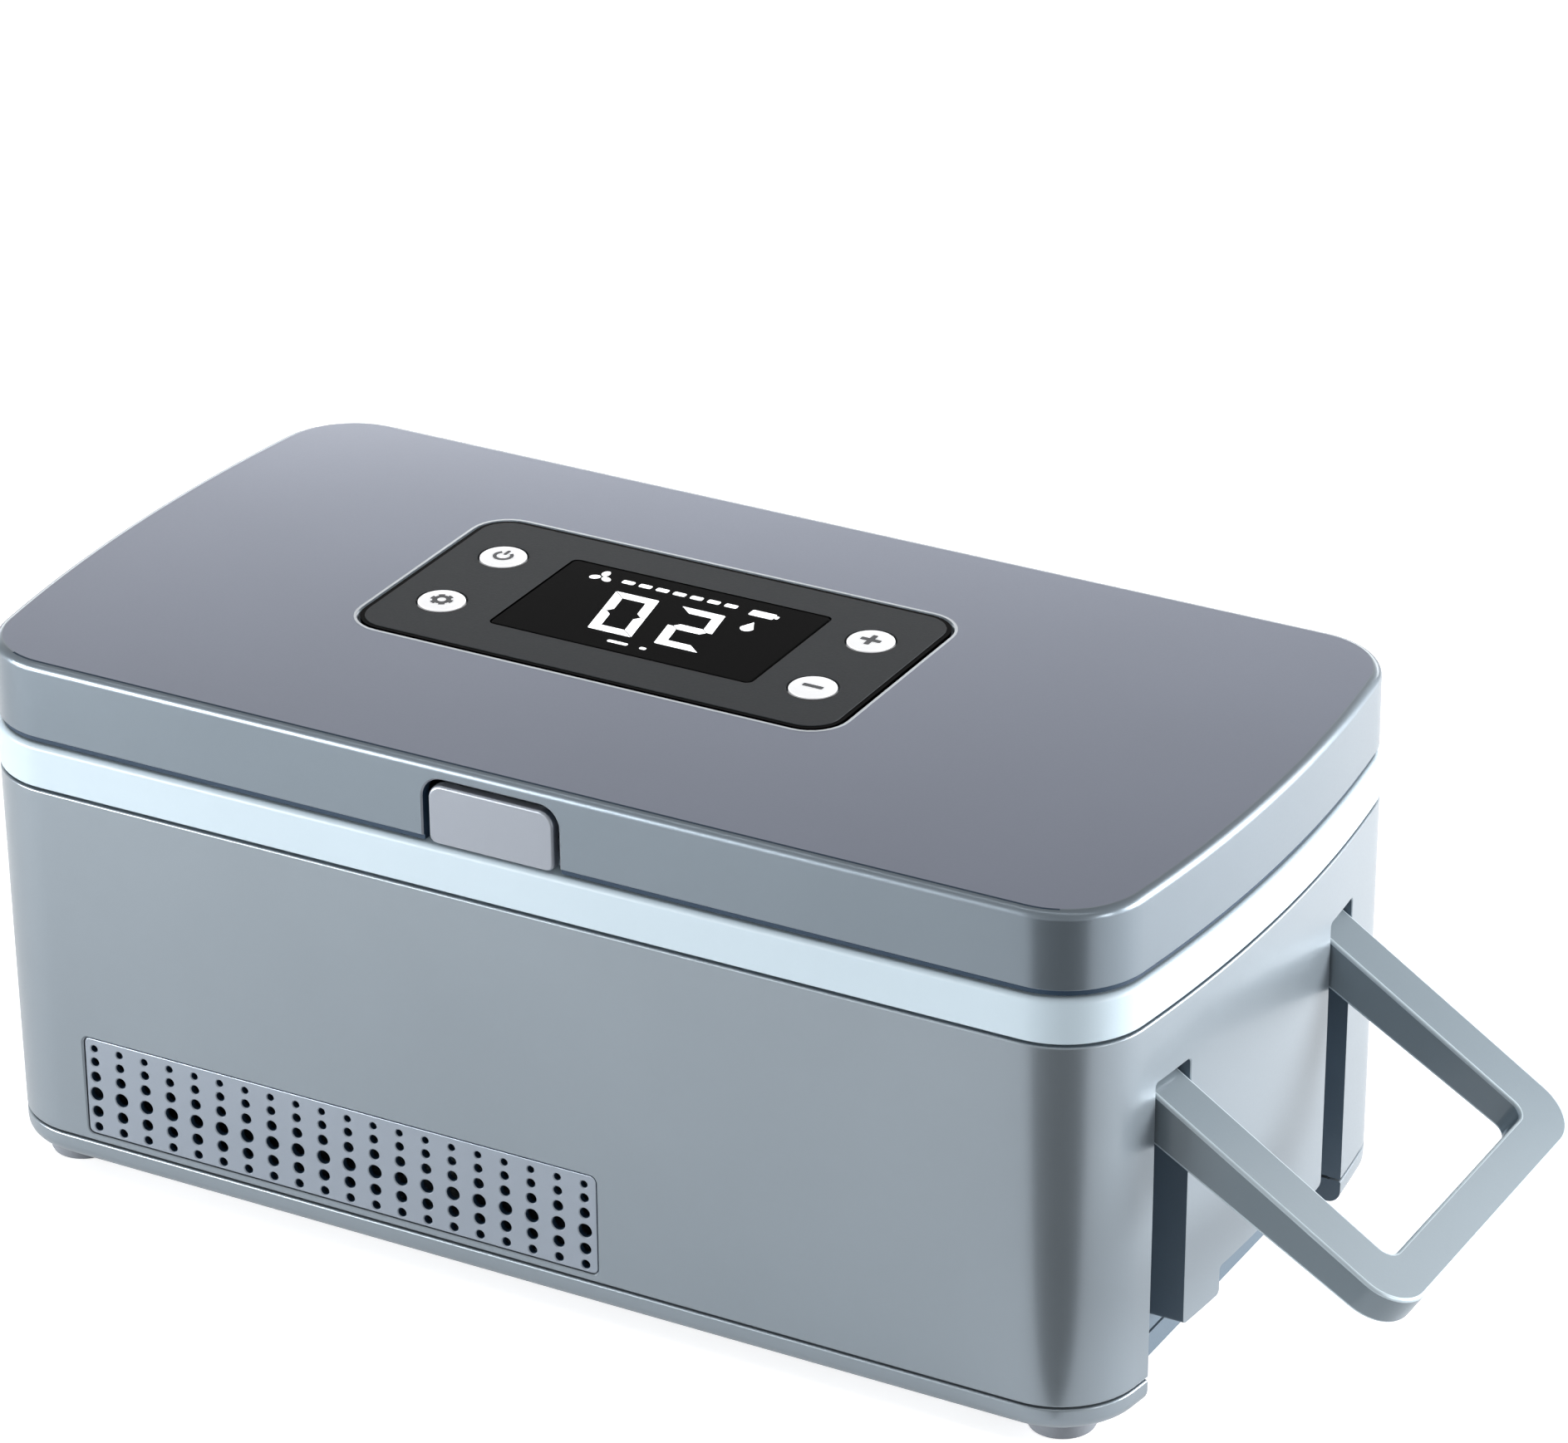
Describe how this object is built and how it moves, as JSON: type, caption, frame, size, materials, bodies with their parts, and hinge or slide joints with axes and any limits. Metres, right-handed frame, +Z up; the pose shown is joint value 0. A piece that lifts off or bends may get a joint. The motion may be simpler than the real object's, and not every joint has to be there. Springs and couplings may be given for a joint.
{
  "type": "insulin cooling case",
  "caption": "Portable cooled case for insulin: bowed box with a hinged lid, display panel, front latch, air inlet, feet and a fold-out handle at one end.",
  "frame": {"origin": "middle of the case, on the plane that its feet stand on", "axes": "+X along the case towards the handle, -Y towards the latch and the air inlet, +Z up"},
  "size_m": [0.2584, 0.112, 0.097],
  "materials": {
    "shell": "satin metallic coat",
    "shell_trim": "satin",
    "light_blue": "satin",
    "aluminium": "bare",
    "foam": "closed-cell foam",
    "ceramic": "matt",
    "black_plastic": "matt",
    "board": "solder mask",
    "white_plastic": "matt",
    "blue_sleeve": "shrink sleeve",
    "cell": "plated can",
    "lead_red": "insulated wire",
    "lead_black": "insulated wire",
    "foot_rubber": "matt",
    "gasket_rubber": "matt",
    "screw_steel": "plated",
    "hinge_steel": "plated",
    "handle_grey": "satin",
    "panel": "satin",
    "window": "glossy",
    "button_white": "satin"
  },
  "bodies": {
    "case": {"body_shell": "shell", "vent_grille": "shell_trim", "base_cover": "shell_trim", "top_deck": "light_blue", "chamber_tub": "light_blue", "cold_plate": "aluminium", "foam_jacket": "foam", "cold_block": "aluminium", "peltier_module": "ceramic", "heat_sink": "aluminium", "fan_frame": "black_plastic", "main_board": "board", "board_header": "white_plastic", "battery_wrap": "blue_sleeve", "battery_cell_1": "cell", "battery_cell_2": "cell", "battery_cell_3": "cell", "protection_board": "board", "battery_lead_red": "lead_red", "battery_lead_black": "lead_black", "battery_plug": "white_plastic", "dc_socket": "black_plastic", "foot_front_left": "foot_rubber", "foot_rear_left": "foot_rubber", "foot_front_right": "foot_rubber", "foot_rear_right": "foot_rubber", "base_screw_front_left": "screw_steel", "base_screw_rear_left": "screw_steel", "base_screw_front_right": "screw_steel", "base_screw_rear_right": "screw_steel", "handle_pin_front": "screw_steel", "handle_pin_rear": "screw_steel", "hinge_bracket_left": "hinge_steel", "hinge_pin_left": "screw_steel", "hinge_bracket_right": "hinge_steel", "hinge_pin_right": "screw_steel"},
    "fan": {"fan_rotor": "black_plastic"},
    "handle": {"handle": "handle_grey"},
    "lid": {"lid_shell": "shell", "lid_plate": "light_blue", "lid_foam": "foam", "lid_gasket": "gasket_rubber", "hinge_leaf_left": "hinge_steel", "hinge_leaf_right": "hinge_steel", "hinge_screw_left_1": "screw_steel", "hinge_screw_left_2": "screw_steel", "hinge_screw_right_1": "screw_steel", "hinge_screw_right_2": "screw_steel", "control_panel": "panel", "display_window": "window", "display_board": "board", "latch_pin": "screw_steel", "latch_spring": "screw_steel", "cable_shroud": "light_blue"},
    "settings_button": {"button_settings": "button_white"},
    "power_button": {"button_power": "button_white"},
    "minus_button": {"button_minus": "button_white"},
    "plus_button": {"button_plus": "button_white"},
    "latch": {"latch_button": "shell_trim"}
  },
  "joints": [
    {"name": "lid_hinge", "type": "hinge", "parent": "case", "child": "lid", "pos_m": [0, 0.0532, 0.0817], "axis": [-1, 0, 0], "range_deg": [0, 100]},
    {"name": "handle_pivot", "type": "hinge", "parent": "case", "child": "handle", "pos_m": [0.10255, -0.0035, 0.0573], "axis": [0, -1, 0], "range_deg": [-57.2, 32.8]},
    {"name": "fan_spin", "type": "hinge", "parent": "case", "child": "fan", "pos_m": [0, 0.0465, 0.037], "axis": [0, 1, 0], "continuous": true},
    {"name": "latch_pivot", "type": "hinge", "parent": "lid", "child": "latch", "pos_m": [-0.0035, -0.0512, 0.088], "axis": [-1, 0, 0], "range_deg": [0, 7], "stiffness_Nm_per_rad": 0.12, "springref_deg": -8.59},
    {"name": "settings_press", "type": "slide", "parent": "lid", "child": "settings_button", "axis": [0, 0, -1], "range_m": [0, 0.0006], "stiffness_N_per_m": 300, "springref_m": -0.002},
    {"name": "power_press", "type": "slide", "parent": "lid", "child": "power_button", "axis": [0, 0, -1], "range_m": [0, 0.0006], "stiffness_N_per_m": 300, "springref_m": -0.002},
    {"name": "minus_press", "type": "slide", "parent": "lid", "child": "minus_button", "axis": [0, 0, -1], "range_m": [0, 0.0006], "stiffness_N_per_m": 300, "springref_m": -0.002},
    {"name": "plus_press", "type": "slide", "parent": "lid", "child": "plus_button", "axis": [0, 0, -1], "range_m": [0, 0.0006], "stiffness_N_per_m": 300, "springref_m": -0.002}
  ]
}
